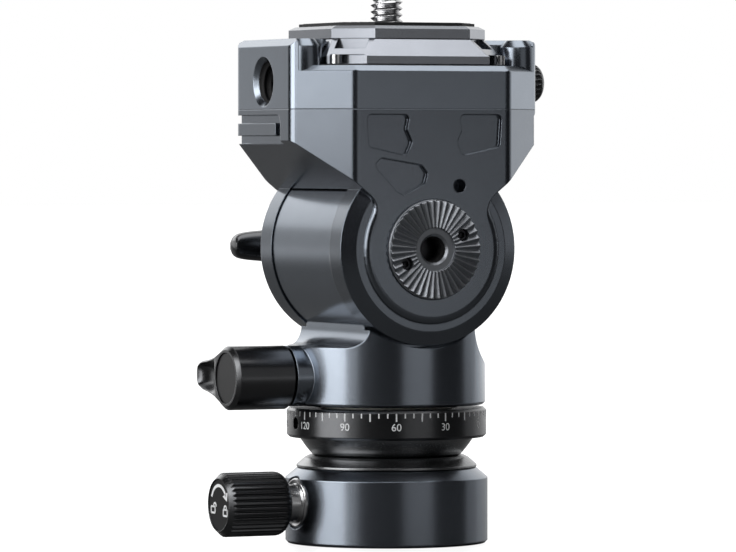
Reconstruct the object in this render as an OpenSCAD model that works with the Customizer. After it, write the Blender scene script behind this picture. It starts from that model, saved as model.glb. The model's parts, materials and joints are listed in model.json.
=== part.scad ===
// Compact fluid video head: levelling base with a half ball, graduated pan column,
// damped tilt drum between two cheeks, and a 38 mm dovetail clamp with its camera plate.
// Origin at the bottom centre of the base, on the tripod thread, +Z up.
// The rosette faces -Y, the two side knobs of the column and base face -X.

/* [Base] */
// Diameter of the base
base_d = 40; // [38:0.5:48]
// Height of the straight wall of the base
base_h = 12.9; // [12.6:0.1:16]
// Height of the sloping shoulder
shoulder_h = 1.9; // [1.2:0.1:2.4]
// Width of the sloping shoulder
shoulder_in = 2.3; // [1:0.1:3]
// Bevel at the bottom edge
base_edge = 0.5; // [0.2:0.1:1]
// Thickness of the threaded plate in the bottom
base_plate_t = 4.6; // [3.8:0.1:4.8]
// Diameter of the threaded plate
base_plate_d = 31; // [29.5:0.5:33]
// Diameter of the tripod thread, three eighths of an inch
tripod_thread_d = 9.525; // [6.35:0.005:12]

/* [Levelling ball] */
// Radius of the half ball
ball_r = 20.1; // [19.8:0.1:20.6]
// Height of the ball centre above the top of the base
ball_rise = 16.4; // [16.2:0.1:17]
// Wall between the ball and the spherical washer
shell_t = 1.85; // [1.5:0.05:2]
// Thickness of the spherical washer
ball_washer_t = 1.3; // [1:0.1:1.5]
// Diameter of the spherical washer
ball_washer_d = 20.8; // [19:0.2:21.4]
// Diameter of the draw bolt
draw_bolt_d = 4; // [3:0.5:5]
// Largest levelling angle
level_angle = 10; // [4:1:10]
// Height of the seat ring
seat_ring_h = 2.2; // [1.6:0.1:2.6]
// Outer diameter of the seat ring
seat_ring_d = 35.6; // [34:0.2:36]

/* [Scale ring] */
// Outer diameter of the graduated ring
scale_d = 39.4; // [37:0.2:42]
// Height of the graduated ring
scale_h = 5.8; // [4.8:0.1:8]
// Height of ball that shows between the seat ring and the graduated ring
ball_show = 3.7; // [3.4:0.1:4.6]
// Diameter of the hub inside the graduated ring
hub_d = 28; // [26:0.5:30]
// Diameter of the ring's clamping screw
scale_screw_d = 2.4; // [1.6:0.2:3]

/* [Pan column] */
// Diameter of the column
column_d = 39; // [37:0.5:42]
// Gap between the graduated ring and the column
column_gap = 0.6; // [0.4:0.1:1.2]
// Height of the pan lock above the bottom of the column
pan_lock_h = 5.6; // [5:0.1:6.4]
// Height of the tilt axis above the bottom of the column
tilt_h = 30.8; // [30:0.1:36]
// Height of the saddle hollow's centre above the bottom of the column
saddle_h = 15.9; // [15:0.1:17]
// Radius of the saddle hollows
saddle_r = 8.6; // [7.6:0.1:9]
// Radius of the hollow above the pan lock
shelf_r = 3.8; // [3:0.1:5]
// Reach of the neck from the pan axis towards +X
neck_out = 11.8; // [11.2:0.1:11.9]
// Reach of the neck from the pan axis towards the pan lock
neck_in = 11.2; // [11:0.1:12]
// How far the pan lock's boss stands out of the column
pan_boss_l = 2.4; // [1.6:0.1:3]
// Diameter of the pan spindle
spindle_d = 10; // [8:0.5:11]
// Outer diameter of the pan bearing
pan_bearing_d = 19; // [18:0.5:19.5]
// Height of the pan bearing
pan_bearing_h = 8.8; // [8.4:0.1:9.2]

/* [Tilt drum] */
// Diameter of the drum
drum_d = 37; // [36:0.5:37.2]
// Width of the drum
drum_w = 27; // [25:0.5:32]
// Bore of the drum
drum_bore_d = 28; // [24:0.5:29]
// Diameter of the tilt axle
axle_d = 10; // [8:0.5:11]
// Width of each tilt bearing
tilt_bearing_w = 4.8; // [3.5:0.1:5]
// Thickness of the damper discs
damper_disc_t = 1.6; // [1.2:0.1:1.8]

/* [Tilt body] */
// Length of the top block along X
body_l = 53.2; // [51:0.2:60]
// Diameter of the cheek discs
cheek_d = 37.6; // [37.4:0.2:38]
// Thickness of the cheek discs
cheek_t = 5.2; // [4.8:0.1:8]
// Radius at which the sloping rim of a cheek disc ends
cheek_flat_r = 16; // [15:0.1:16.4]
// Height of the sloping rim of a cheek disc
cheek_rim_h = 1.4; // [0.8:0.1:1.6]
// How far the front plates stand out of the edge of the cheek discs
face_rise = 2.3; // [2:0.1:2.8]
// Radius of the front plate round the tilt axis
face_hub_r = 13.1; // [12:0.1:13.4]
// Width of the rounding at the edge of the front plate
face_round_w = 1.4; // [0.8:0.1:1.8]
// Height of that rounding
face_round_h = 0.9; // [0.5:0.1:1.2]
// Radius of the hollow that leads from the hub to the block
face_hollow_r = 4.6; // [3:0.1:6]
// Slope of the block's underside
under_angle = 38.4; // [38.2:0.2:41]
// Extra slope of the underside between the cheeks, towards +X
web_relief = 7; // [6.5:0.5:9]
// Height of the block's top above the tilt axis
block_rise = 27.2; // [26:0.1:32]
// Length of the corner chamfers along X
corner_x = 10.1; // [8:0.1:10.6]
// Length of the corner chamfers along Y
corner_y = 8.3; // [6:0.1:9]
// Radius of the block's upright edges
corner_r = 2.6; // [1:0.1:3.2]
// Depth of the accessory rail's grooves
rail_depth = 1.7; // [1:0.1:2]
// Width of the accessory rail's bar
rail_bar_w = 2.4; // [2:0.1:2.8]
// Width of each of the accessory rail's grooves
rail_groove_w = 1.6; // [1.4:0.1:1.9]
// Wall above the accessory rail's upper groove
rail_drop = 1.1; // [0.8:0.1:1.4]
// Distance of the rail's closed end from the corner chamfer
rail_stop = 5; // [2:0.1:7]
// Depth of the pockets in the front face
pocket_depth = 1; // [0.3:0.1:1.2]

/* [Rosette] */
// Diameter of the toothed rosette
rosette_d = 19.4; // [17.4:0.2:21]
// Diameter of its flat centre
rosette_flat_d = 8.5; // [7.6:0.1:9.4]
// Bore of its threaded hole
rosette_bore_d = 5.1; // [4:0.1:6]
// Number of teeth
rosette_teeth = 40; // [24:2:60]
// Height of the teeth at the rim
rosette_tooth_h = 0.8; // [0.4:0.1:1]
// Radius of the circle through the rosette's screws
rosette_screw_r = 6.6; // [6.2:0.1:7]
// Diameter of the rosette's screws
rosette_screw_d = 2.3; // [1.8:0.1:2.6]

/* [Clamp] */
// Height of the clamp
clamp_h = 13.7; // [13.2:0.1:16]
// Depth of the plate channel
channel_depth = 5.2; // [4.8:0.1:5.6]
// Bevel of the jaws' outer top edges
jaw_bevel = 1.4; // [0.8:0.1:2]
// Bevel of the channel floor's open edges
floor_edge = 1.1; // [0.6:0.1:1.4]
// Radius of the scoops at the ends of the jaws
scoop_r = 10.7; // [10:0.1:11]
// Height of the side hole and the release knob above the clamp's underside
side_hole_h = 5.4; // [5.2:0.1:5.6]
// Depth of the side hole
side_hole_depth = 6; // [4:0.1:6.2]
// Diameter of the side hole, the tapping size of a three eighths inch thread
side_hole_d = 8; // [6:0.1:9]
// Diameter of the release knob
release_d = 8; // [7:0.2:10]
// Length of the release knob
release_l = 6.8; // [6:0.1:8]
// Travel of the release knob
release_travel = 2.5; // [2:0.1:2.6]
// Diameter of the plunger rod
plunger_d = 3; // [2.4:0.1:3.2]
// Thread diameter of the clamp's screws
clamp_screw_d = 3; // [2:0.5:3]

/* [Camera plate] */
// Width of the dovetail foot
plate_w = 38; // [36:0.5:38.4]
// Thickness of the dovetail foot
plate_foot_t = 1.5; // [1.2:0.1:1.7]
// Width of the top slab
plate_top_w = 33.2; // [31.4:0.2:33.6]
// Thickness of the top slab
plate_slab_t = 2.5; // [1.8:0.1:3.5]
// Length of the corner chamfers of the dovetail foot
plate_corner = 5.9; // [4.5:0.1:7]
// Length of the corner chamfers of the top slab
slab_corner = 6.4; // [5:0.1:7]
// Width of the bevel at the slab's top edge
slab_edge_w = 1.2; // [0.6:0.1:1.6]
// Height of the bevel at the slab's top edge
slab_edge_h = 0.6; // [0.3:0.1:1]
// Thickness of the rubber pad
pad_t = 0.6; // [0.3:0.1:1.2]
// Thread diameter of the camera screw, a quarter of an inch
camera_screw_d = 6.35; // [5:0.05:7]
// Length of camera screw above the pad
camera_screw_l = 5.5; // [4:0.1:8]

/* [Lock levers] */
// Diameter of a lever's hub
lever_hub_d = 12.4; // [11.6:0.2:13]
// Length of a lever's hub
lever_hub_l = 12.6; // [12.2:0.1:15]
// Reach of a lever's tail from its axis
lever_reach = 19.8; // [17:0.2:21]
// Radius of a lever's tip
lever_tip_r = 3; // [2.4:0.1:3.6]
// Thickness of a lever's tail
lever_tail_t = 9.4; // [7:0.1:9.6]
// Height of a lever's tail above its seat
lever_tail_h = 1.4; // [1:0.1:2]
// Radius of the hollow flanks of a lever
lever_flank_r = 20; // [14:0.5:26]
// Diameter of a lever's end disc
lever_cap_d = 9.8; // [9.4:0.1:10.2]

/* [Level knob] */
// Diameter of the level knob
knob_d = 12.2; // [10:0.2:14]
// Length of the level knob
knob_l = 14.1; // [12:0.1:17]
// Number of flutes
knob_flutes = 38; // [20:2:48]
// Height of the knob's axis above the ground
knob_z = 8.2; // [7.9:0.1:8.6]
// Length of steel neck that shows between base and knob
knob_neck_l = 1.9; // [1.4:0.1:4]
// Diameter of the steel neck
knob_neck_d = 8.4; // [7.4:0.2:9]
// Thread diameter of the level screw
level_screw_d = 5; // [3:0.5:5]

/* [Clearances] */
// Radial play of a shaft in its bore
fit = 0.05; // [0.02:0.01:0.1]
// Gap between faces that turn against each other
run_gap = 0.3; // [0.2:0.05:0.4]
// Gap between flat faces of a bearing
face_gap = 0.2; // [0.1:0.05:0.25]

/* [Hidden] */

$fn = 96;
// Overlap that keeps cuts clear of coplanar faces
eps = 0.01;
// Reach of cuts that run right through
through = 80;
// Points along each rounded corner of an outline
corner_steps = 6;

metal = [0.30, 0.32, 0.35];
black = [0.06, 0.06, 0.07];
steel = [0.72, 0.73, 0.75];
brass = [0.78, 0.62, 0.30];
polymer = [0.88, 0.87, 0.82];

// Base and levelling ball
base_r = base_d / 2;
base_top = base_h + shoulder_h;
base_plate_r = base_plate_d / 2;
ball_z = base_top + ball_rise;
seat_sphere_r = ball_r + run_gap;
under_sphere_r = seat_sphere_r + shell_t;
washer_in_r = under_sphere_r + face_gap;
washer_out_r = washer_in_r + ball_washer_t;
ball_washer_r = ball_washer_d / 2;
draw_bolt_r = draw_bolt_d / 2;
draw_hole_r = sin(level_angle) * under_sphere_r + draw_bolt_r + run_gap;
washer_swing = asin(ball_washer_r / washer_in_r) + level_angle;
cavity_r = washer_in_r * sin(washer_swing) + 2 * face_gap;
bolt_head_r = 0.9 * draw_bolt_d;
bolt_head_top = ball_z - washer_out_r + 0.35;
bolt_head_bottom = base_plate_t + 0.8;
seat_ring_r = seat_ring_d / 2;
seat_ring_z = base_top + face_gap;
seat_ring_top = seat_ring_z + seat_ring_h;

// Graduated ring and pan bearing
scale_r = scale_d / 2;
scale_z = seat_ring_top + ball_show;
scale_top = scale_z + scale_h;
hub_r = hub_d / 2;
column_r = column_d / 2;
column_z = scale_top + column_gap;
hub_top = column_z - 1.2;
spindle_r = spindle_d / 2;
spindle_z = scale_z - 2.9;
pan_lock_z = column_z + pan_lock_h;
pan_bearing_r = pan_bearing_d / 2;
pan_bearing_z = column_z + run_gap;
pan_bearing_top = pan_bearing_z + pan_bearing_h;
disc_t = 1.6;
nut_t = 2.4;
disc_z = pan_bearing_top + 0.4;
nut_z = disc_z + disc_t;
chamber_top = nut_z + nut_t + 0.6;

// Tilt axis, drum and cheeks
tilt_z = column_z + tilt_h;
drum_r = drum_d / 2;
drum_y = drum_w / 2;
drum_bore_r = drum_bore_d / 2;
axle_r = axle_d / 2;
cheek_r = cheek_d / 2;
cheek_y = drum_y + run_gap;
rim_y = cheek_y + cheek_t;
face_y = rim_y + face_rise;
drum_room_r = max(drum_r, cheek_r) + 0.1;
cheek_room_r = cheek_r + 0.5;
block_top = tilt_z + block_rise;
half_l = body_l / 2;

// Rosette on the near cheek
rosette_r = rosette_d / 2;
rosette_lift = 0.8;
rosette_y = face_y + rosette_lift;
rosette_t = 2.2 + rosette_lift;
axle_near_y = cheek_y + 3;
rosette_floor = 0.3;
hole_chamfer = 0.5;
side_chamfer = 0.9;
pin_hole_at = [5.7, 12.3];
pin_hole_r = 1.3;

// Clamp and camera plate
clamp_top = block_top + clamp_h;
floor_z = clamp_top - channel_depth;
side_z = block_top + side_hole_h;
plate_z = floor_z + run_gap;
plate_r = plate_w / 2;
foot_top = plate_z + plate_foot_t;
slab_z = clamp_top + 0.1;
slab_top = slab_z + plate_slab_t;
pad_top = slab_top + pad_t;
plate_top_r = plate_top_w / 2;
foot_corner_r = (2 * plate_r - plate_corner) / sqrt(2);
slab_corner_r = (2 * plate_top_r - slab_corner) / sqrt(2);
jaw_gap = 0.3;
plunger_r = plunger_d / 2;
latch_y = 6;
latch_l = 5.6;
latch_z = side_z - plunger_r - 0.4;
latch_top = clamp_top - 1.5;
camera_screw_r = camera_screw_d / 2;
camera_head_r = camera_screw_r + 2.6;
camera_head_t = 2.8;
stop_room = 2;
stop_room_w = 7;
stop_top = foot_top + 0.3;
camera_head_z = plate_z + 0.4;

// Locks
lever_hub_r = lever_hub_d / 2;
lever_cap_r = lever_cap_d / 2;
lever_cap_t = 1;
lever_screw_r = 2.5;
lever_recess_r = 4.8;
pan_bore_l = lever_hub_l - 4;
tilt_bore_l = lever_hub_l - 3;
tilt_stud_r = 3;
tilt_washer_t = 1.1;
pan_seat_x = column_r + pan_boss_l;
tilt_seat_y = face_y + run_gap;
knob_r = knob_d / 2;
bush_seat_x = base_r - 0.9;
bush_flange_t = 0.8;
knob_x = bush_seat_x + bush_flange_t + knob_neck_l;
level_screw_r = level_screw_d / 2;
bush_r = level_screw_r + 0.9;
shoe_in = bolt_head_r + (ball_z - bolt_head_bottom) * sin(level_angle) + 0.8;
shoe_out = cavity_r - 1.6;
shoe_y = 3;

// Unit vector along v
function unit(v) = v / norm(v);

// Point at radius r and angle a
function polar(r, a) = [r * cos(a), r * sin(a)];

// Arc of n steps about a centre
function arc(centre, r, from, turn, n) = [
    for (i = [0 : n]) centre + polar(r, from + turn * i / n)
];

// Rounded corner at b between the neighbours a and c
function corner_arc(a, b, c, r) =
    let (
        u = unit(a - b),
        w = unit(c - b),
        half = acos(u * w) / 2,
        centre = b + unit(u + w) * r / sin(half),
        p = b + u * r / tan(half) - centre,
        q = b + w * r / tan(half) - centre,
        from = atan2(p.y, p.x),
        turn = (atan2(q.y, q.x) - from + 540) % 360 - 180
    )
    arc(centre, r, from, turn, corner_steps);

// Outline with every corner rounded to radius r
function rounded(pts, r) = [
    for (i = [0 : len(pts) - 1])
        each corner_arc(pts[(i + len(pts) - 1) % len(pts)], pts[i], pts[(i + 1) % len(pts)], r)
];

// Rectangle of half sizes x and y with its corners cut by cx and cy
function chamfered(x, y, cx, cy) = [
    [x, cy - y], [x, y - cy], [x - cx, y], [cx - x, y],
    [-x, y - cy], [-x, cy - y], [cx - x, -y], [x - cx, -y]
];

// Turns a solid drawn along +Z so that it lies along -X, starting at x = -start
module along_minus_x(start, y = 0, z = 0) {
    translate([-start, y, z]) rotate([0, -90, 0]) children();
}

// Turns a solid drawn along +Z so that it lies along +Y, starting at y = start, on the tilt axis
module along_tilt(start = 0) {
    translate([0, start, tilt_z]) rotate([-90, 0, 0]) children();
}

// Ring between two radii
module tube(outer, inner, h) {
    difference() {
        cylinder(r = outer, h = h);
        translate([0, 0, -1]) cylinder(r = inner, h = h + 2);
    }
}

// Straight-fluted disc
module fluted(r, flutes, depth) {
    groove = 0.36 * 2 * PI * r / flutes;
    difference() {
        circle(r = r);
        for (i = [0 : flutes - 1])
            translate(polar(r + groove - depth, 360 * i / flutes)) circle(r = groove, $fn = 16);
    }
}

// Base

module base_housing() {
    color(metal) difference() {
        rotate_extrude() polygon([
            [0, 0], [base_r - base_edge, 0], [base_r, base_edge], [base_r, base_h],
            [base_r - shoulder_in, base_top], [0, base_top]
        ]);
        translate([0, 0, -1]) cylinder(r = base_plate_r + fit, h = base_plate_t + 1);
        difference() {
            translate([0, 0, base_plate_t - eps]) cylinder(r = cavity_r, h = base_top);
            translate([0, 0, ball_z]) sphere(r = under_sphere_r);
        }
        translate([0, 0, ball_z]) sphere(r = seat_sphere_r);
        cylinder(r = draw_hole_r, h = base_top + 1);
        along_minus_x(cavity_r - 2, 0, knob_z) cylinder(r = bush_r + fit, h = base_r);
        along_minus_x(bush_seat_x, 0, knob_z) cylinder(r = knob_neck_d / 2 + 1, h = base_r);
    }
}

// Threaded plate in the bottom, with two holes for a pin spanner
module base_plate() {
    spanner_r = (base_plate_r + tripod_thread_d / 2) / 2;
    color(steel) difference() {
        cylinder(r = base_plate_r, h = base_plate_t);
        translate([0, 0, -1]) cylinder(d = tripod_thread_d, h = base_plate_t + 2);
        for (side = [-1, 1])
            translate([side * spanner_r, 0, -1]) cylinder(r = 1.5, h = 3.2);
    }
}

// Flanged bush that guides the level screw
module level_bush() {
    color(steel) difference() {
        union() {
            along_minus_x(cavity_r + run_gap, 0, knob_z)
                cylinder(r = bush_r, h = bush_seat_x - cavity_r);
            along_minus_x(bush_seat_x, 0, knob_z)
                cylinder(r = knob_neck_d / 2 + 0.7, h = bush_flange_t);
            along_minus_x(bush_seat_x, 0, knob_z)
                cylinder(d = knob_neck_d, h = bush_flange_t + knob_neck_l - run_gap);
        }
        along_minus_x(cavity_r - 2, 0, knob_z) cylinder(r = level_screw_r + fit, h = base_r);
    }
}

// Sliding wedge that pinches the spherical washer against the base
module level_shoe() {
    color(brass) difference() {
        translate([-shoe_out, -shoe_y, base_plate_t + 0.4])
            cube([shoe_out - shoe_in, 2 * shoe_y, base_top]);
        translate([0, 0, ball_z]) sphere(r = washer_out_r + run_gap);
    }
}

module level_knob() {
    rim = 0.9;
    color(black) along_minus_x(knob_x, 0, knob_z) difference() {
        intersection() {
            linear_extrude(height = knob_l) fluted(knob_r, knob_flutes, 0.45);
            rotate_extrude() polygon(concat(
                [[0, 0]],
                arc([knob_r - 2.2, 2.2], 2.2, -90, 90, corner_steps),
                [[knob_r, knob_l - rim], [knob_r - rim, knob_l], [0, knob_l]]
            ));
        }
        translate([0, 0, knob_l - lever_cap_t]) cylinder(r = knob_r - 1.3, h = 2);
        translate([0, 0, -1]) cylinder(r = level_screw_r + fit, h = knob_l - 2);
    }
}

// End disc that carries the lock symbols
module level_knob_cap() {
    color(black) along_minus_x(knob_x + knob_l - lever_cap_t, 0, knob_z)
        cylinder(r = knob_r - 1.3 - fit, h = lever_cap_t - 0.2);
}

module level_screw() {
    color(steel) along_minus_x(shoe_out, 0, knob_z)
        cylinder(r = level_screw_r, h = knob_x + knob_l - 3 - shoe_out);
}

// Levelling ball

module seat_ring() {
    lip = 0.4;
    color(black) difference() {
        rotate_extrude() polygon([
            [1, seat_ring_z], [seat_ring_r, seat_ring_z], [seat_ring_r, seat_ring_z + lip],
            [seat_ring_r - 1.6, seat_ring_top - lip], [seat_ring_r - 2.4, seat_ring_top],
            [1, seat_ring_top]
        ]);
        translate([0, 0, ball_z]) sphere(r = seat_sphere_r);
    }
}

module half_ball() {
    color(black) difference() {
        union() {
            intersection() {
                translate([0, 0, ball_z]) sphere(r = ball_r);
                cylinder(r = base_r + 5, h = scale_z);
            }
            translate([0, 0, scale_z - eps]) cylinder(r = hub_r, h = hub_top - scale_z + eps);
        }
        translate([0, 0, spindle_z]) cylinder(r = spindle_r + fit, h = through);
        cylinder(r = draw_bolt_r + fit, h = spindle_z + 1);
    }
}

module draw_bolt() {
    color(steel) union() {
        translate([0, 0, bolt_head_bottom])
            cylinder(r = bolt_head_r, h = bolt_head_top - bolt_head_bottom);
        translate([0, 0, bolt_head_top]) cylinder(r = draw_bolt_r, h = spindle_z + 4 - bolt_head_top);
    }
}

// Dished washer that holds the ball down from below
module spherical_washer() {
    color(steel) difference() {
        intersection() {
            translate([0, 0, ball_z]) sphere(r = washer_out_r);
            translate([0, 0, bolt_head_top]) cylinder(r = ball_washer_r, h = base_top);
        }
        translate([0, 0, ball_z]) sphere(r = washer_in_r);
        cylinder(r = draw_bolt_r + fit, h = base_top);
    }
}

// Graduated ring, clamped on the hub of the ball
module scale_ring() {
    bevel = 0.5;
    color(black) difference() {
        rotate_extrude() polygon([
            [hub_r + fit, scale_z], [scale_r - bevel, scale_z], [scale_r, scale_z + bevel],
            [scale_r, scale_top - bevel], [scale_r - bevel, scale_top], [hub_r + fit, scale_top]
        ]);
        along_minus_x(hub_r - 1, 0, scale_z + scale_h / 2)
            cylinder(d = scale_screw_d, h = scale_r);
    }
}

module scale_ring_screw() {
    color(black) along_minus_x(hub_r + 2 * fit, 0, scale_z + scale_h / 2)
        cylinder(r = scale_screw_d / 2 - fit, h = scale_r - hub_r - 1);
}

module pan_spindle() {
    color(steel) difference() {
        union() {
            translate([0, 0, spindle_z]) cylinder(r = spindle_r, h = nut_z - spindle_z);
            translate([0, 0, nut_z]) cylinder(r = spindle_r - 1.5, h = nut_t + 0.2);
        }
        translate([0, 0, spindle_z - 1]) cylinder(r = draw_bolt_r + fit, h = 6);
    }
}

module thrust_washer() {
    color(polymer) translate([0, 0, hub_top])
        tube(hub_r - 1, spindle_r + fit, column_z - face_gap - hub_top);
}

// Disc that turns in the damping grease above the pan bearing
module pan_damper_disc() {
    color(brass) translate([0, 0, disc_z])
        tube(pan_bearing_r - 0.6, spindle_r + fit, disc_t);
}

module spindle_nut() {
    color(steel) translate([0, 0, nut_z]) difference() {
        cylinder(r = spindle_r + 2.5, h = nut_t, $fn = 6);
        translate([0, 0, -1]) cylinder(r = spindle_r - 1.5 + fit, h = nut_t + 2);
    }
}

// Pan column with the tilt drum

// Hollow beside the neck, with a floor at the given height and a round inner corner
module side_hollow(neck, r, floor) {
    translate([neck + r, floor + r]) circle(r = r);
    translate([neck, floor + r]) square(2 * through);
    translate([neck + r, floor]) square(2 * through);
}

// Upright profile of the column: a saddle hollow towards +X, a shelf above the lock towards -X
module column_profile() {
    shelf_sink = 0.2;
    difference() {
        translate([-through, column_z]) square([2 * through, tilt_h]);
        side_hollow(neck_out, saddle_r, column_z + saddle_h - saddle_r);
        mirror([1, 0]) side_hollow(neck_in, shelf_r, pan_lock_z + lever_hub_r - shelf_sink);
    }
}

module column() {
    foot_bevel = 0.5;
    color(metal) difference() {
        union() {
            intersection() {
                rotate_extrude() polygon([
                    [0, column_z], [column_r - foot_bevel, column_z], [column_r, column_z + foot_bevel],
                    [column_r, tilt_z], [0, tilt_z]
                ]);
                translate([0, through, 0]) rotate([90, 0, 0])
                    linear_extrude(height = 2 * through) column_profile();
            }
            intersection() {
                along_minus_x(pan_bearing_r + 1, 0, pan_lock_z)
                    cylinder(r = lever_hub_r, h = pan_seat_x - pan_bearing_r - 1);
                translate([0, 0, column_z]) cylinder(r = base_d, h = tilt_h);
            }
            along_tilt(-drum_y) cylinder(r = drum_r, h = drum_w);
        }
        for (side = [-1, 1])
            along_tilt(side * (drum_y + through) - through)
                cylinder(r = cheek_room_r, h = 2 * through);
        along_tilt(-through) cylinder(r = drum_bore_r, h = 2 * through);
        translate([0, 0, column_z - 1]) cylinder(r = pan_bearing_r + fit, h = chamber_top + 1 - column_z);
        along_minus_x(pan_bearing_r - 2, 0, pan_lock_z) cylinder(r = lever_screw_r + fit, h = column_r);
    }
}

// Bush between spindle and column, with a side hole for the brake pad
module pan_bearing() {
    color(brass) difference() {
        translate([0, 0, pan_bearing_z]) tube(pan_bearing_r, spindle_r + 2 * fit, pan_bearing_h);
        along_minus_x(0, 0, pan_lock_z) cylinder(r = lever_screw_r + fit, h = column_r);
    }
}

module tilt_bearing(start) {
    color(brass) along_tilt(start) tube(drum_bore_r - fit, axle_r + fit, tilt_bearing_w);
}

module tilt_bearing_near() {
    tilt_bearing(-drum_y + face_gap);
}

module tilt_bearing_far() {
    tilt_bearing(drum_y - face_gap - tilt_bearing_w);
}

// Half the distance between two neighbouring discs of the damper
damper_step = (drum_y - face_gap - tilt_bearing_w - damper_disc_t) / 2;

// Two fixed rings in the drum
module damper_stator() {
    color(steel) for (side = [-1, 1])
        along_tilt(side * damper_step - damper_disc_t / 2)
            tube(drum_bore_r - fit, axle_r + 1.4, damper_disc_t);
}

// Three discs on the axle, between and beside the fixed rings
module damper_rotor() {
    color(brass) difference() {
        union() {
            for (place = [-1, 0, 1])
                along_tilt(place * 2 * damper_step - damper_disc_t / 2 - 0.2 * place)
                    cylinder(r = drum_bore_r - 0.5, h = damper_disc_t - 0.4);
            along_tilt(-2 * damper_step) cylinder(r = axle_r + 1, h = 4 * damper_step);
        }
        along_tilt(-through) cylinder(r = axle_r + fit, h = 2 * through);
    }
}

// Lock levers

// Outline of a lever: round hub and tip, joined by hollow flanks that touch both
module lever_outline() {
    tip_x = lever_reach - lever_tip_r;
    to_hub = lever_hub_r + lever_flank_r;
    to_tip = lever_tip_r + lever_flank_r;
    flank_x = (to_hub * to_hub - to_tip * to_tip + tip_x * tip_x) / (2 * tip_x);
    flank_y = sqrt(to_hub * to_hub - flank_x * flank_x);
    hub_touch = lever_hub_r / to_hub;
    tip_touch = lever_tip_r / to_tip;
    circle(r = lever_hub_r);
    translate([tip_x, 0]) circle(r = lever_tip_r);
    difference() {
        polygon([
            [0, 0], [flank_x * hub_touch, flank_y * hub_touch],
            [tip_x + (flank_x - tip_x) * tip_touch, flank_y * tip_touch], [tip_x, 0],
            [tip_x + (flank_x - tip_x) * tip_touch, -flank_y * tip_touch],
            [flank_x * hub_touch, -flank_y * hub_touch]
        ]);
        for (side = [-1, 1])
            translate([flank_x, side * flank_y]) circle(r = lever_flank_r, $fn = 180);
    }
}

// Lever with its seat at z = 0 and its tail along +X
module lever(bore_r, bore_l) {
    bevel = 0.7;
    dish_t = 1;
    dish_l = 7;
    dish_r = (dish_l * dish_l / 4 + dish_t * dish_t) / (2 * dish_t);
    color(black) difference() {
        union() {
            rotate_extrude() polygon([
                [0, 0], [lever_hub_r - bevel / 2, 0], [lever_hub_r, bevel / 2],
                [lever_hub_r, lever_hub_l - bevel], [lever_hub_r - bevel, lever_hub_l], [0, lever_hub_l]
            ]);
            translate([0, 0, lever_tail_h]) linear_extrude(height = lever_tail_t) lever_outline();
        }
        translate([lever_reach - dish_l / 2 - 1.2, 0, lever_tail_h + lever_tail_t + dish_r - dish_t])
            rotate([90, 0, 0]) cylinder(r = dish_r, h = 2 * lever_tip_r - 1.6, center = true);
        translate([0, 0, lever_hub_l - lever_cap_t]) cylinder(r = lever_cap_r + fit, h = 2);
        translate([0, 0, -1]) cylinder(r = bore_r, h = bore_l + 1);
    }
}

// End disc of a lever
module lever_cap() {
    color(black) translate([0, 0, lever_hub_l - lever_cap_t])
        cylinder(r = lever_cap_r, h = lever_cap_t - 0.2);
}

// Places a lever on the pan lock, its tail towards +Y
module at_pan_lock() {
    along_minus_x(pan_seat_x + face_gap, 0, pan_lock_z) rotate([0, 0, 90]) children();
}

// Places a lever on the tilt lock, its tail towards -X
module at_tilt_lock() {
    along_tilt(tilt_seat_y) rotate([0, 0, 180]) children();
}

// Shoe that the pan screw presses on the spindle
module pan_brake_pad() {
    color(brass) difference() {
        along_minus_x(spindle_r - 1, 0, pan_lock_z)
            cylinder(r = lever_screw_r - fit, h = pan_bearing_r - spindle_r - 1);
        cylinder(r = spindle_r + 2 * fit, h = through);
    }
}

module pan_lever() {
    at_pan_lock() lever(lever_screw_r + fit, pan_bore_l);
}

module pan_lever_cap() {
    at_pan_lock() lever_cap();
}

module pan_screw() {
    start = pan_bearing_r - 2;
    color(steel) along_minus_x(start, 0, pan_lock_z)
        cylinder(r = lever_screw_r, h = pan_seat_x + face_gap + pan_bore_l - start);
}

// Washer between the tilt lever and the far cheek
module tilt_washer() {
    color(brass) along_tilt(face_y + face_gap / 2)
        tube(lever_recess_r - 2 * fit, tilt_stud_r + 2 * fit, tilt_washer_t);
}

module tilt_lever() {
    at_tilt_lock() lever(lever_recess_r, tilt_bore_l);
}

module tilt_lever_cap() {
    at_tilt_lock() lever_cap();
}

// Threaded insert of the tilt lever
module tilt_lever_nut() {
    seat = tilt_washer_t + run_gap;
    color(brass) at_tilt_lock() translate([0, 0, seat])
        tube(lever_recess_r - fit, tilt_stud_r + fit, tilt_bore_l - seat);
}

// Tilt body

// Front plate round the tilt axis, seen along Y, grown by e
function face_outline(e) =
    let (
        hub = face_hub_r + e,
        hollow = face_hollow_r - e,
        reach = sqrt(pow(hub + hollow, 2) - pow(hollow, 2)),
        hub_touch = under_angle - atan2(hollow, reach),
        side = half_l + 1,
        hollow_at = polar(hub + hollow, hub_touch),
        from = 180 + hub_touch,
        turn = under_angle - hub_touch - 90
    )
    concat(
        arc(hollow_at, hollow, from, turn, corner_steps),
        [[side, side * tan(under_angle)], [side, block_rise]],
        [[-side, block_rise], [-side, side * tan(under_angle)]],
        arc([-hollow_at.x, hollow_at.y], hollow, 180 - from - turn, turn, corner_steps),
        arc([0, 0], hub, 180 - hub_touch, 180 + 2 * hub_touch, 6 * corner_steps)
    );

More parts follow.
